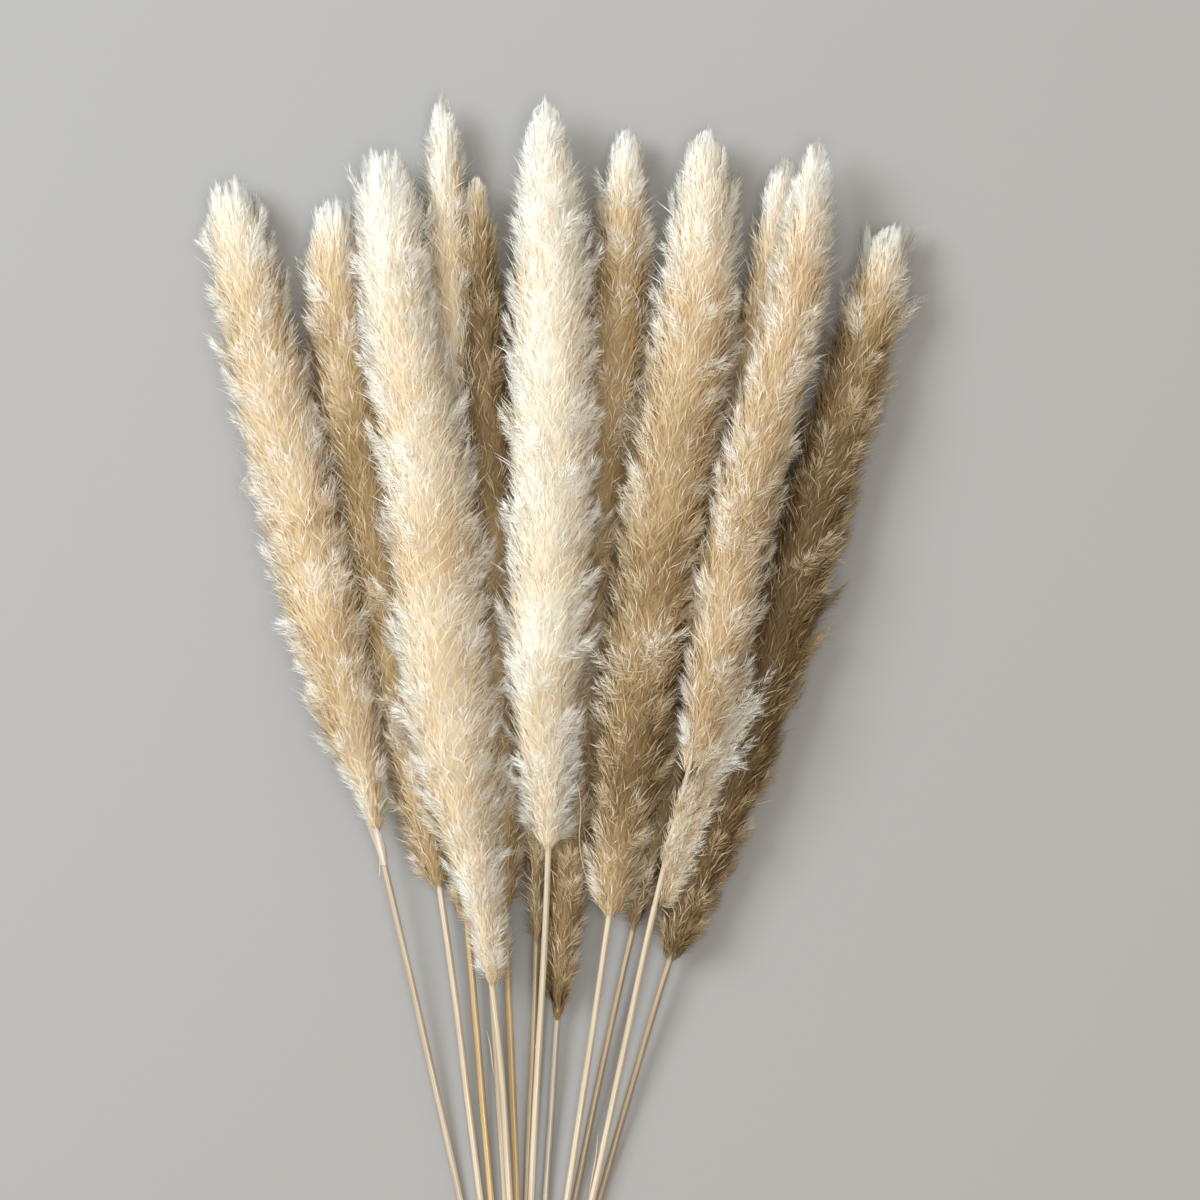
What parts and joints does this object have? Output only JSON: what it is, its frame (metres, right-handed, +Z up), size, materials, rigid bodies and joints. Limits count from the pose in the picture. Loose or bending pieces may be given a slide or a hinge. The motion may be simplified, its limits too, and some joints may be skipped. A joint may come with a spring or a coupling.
{
  "type": "bundle of dried grass plumes",
  "caption": "Loose bundle of dried, fluffy grass plumes on thin straw stems, fanned out and lying flat.",
  "frame": {"origin": "centre of the footprint seen from above, on the surface that the bundle lies on", "axes": "+Y from the cut stem ends to the plume tips, +X to the right seen from above, +Z up"},
  "size_m": [0.234, 0.448, 0.0433],
  "materials": {
    "plume": "soft silky hairs, cream to golden tan",
    "stem": "dry straw, faint lengthwise grain, slight sheen"
  },
  "bodies": {
    "root": {"plume_01": "plume", "plume_02": "plume", "plume_03": "plume", "plume_04": "plume", "plume_05": "plume", "plume_06": "plume", "plume_07": "plume", "plume_08": "plume", "plume_09": "plume", "plume_10": "plume", "plume_11": "plume", "plume_12": "plume", "plume_13": "plume", "stem_01": "stem", "stem_02": "stem", "stem_03": "stem", "stem_04": "stem", "stem_05": "stem", "stem_06": "stem", "stem_07": "stem", "stem_08": "stem", "stem_09": "stem", "stem_10": "stem", "stem_11": "stem", "stem_12": "stem", "stem_13": "stem"}
  },
  "joints": []
}
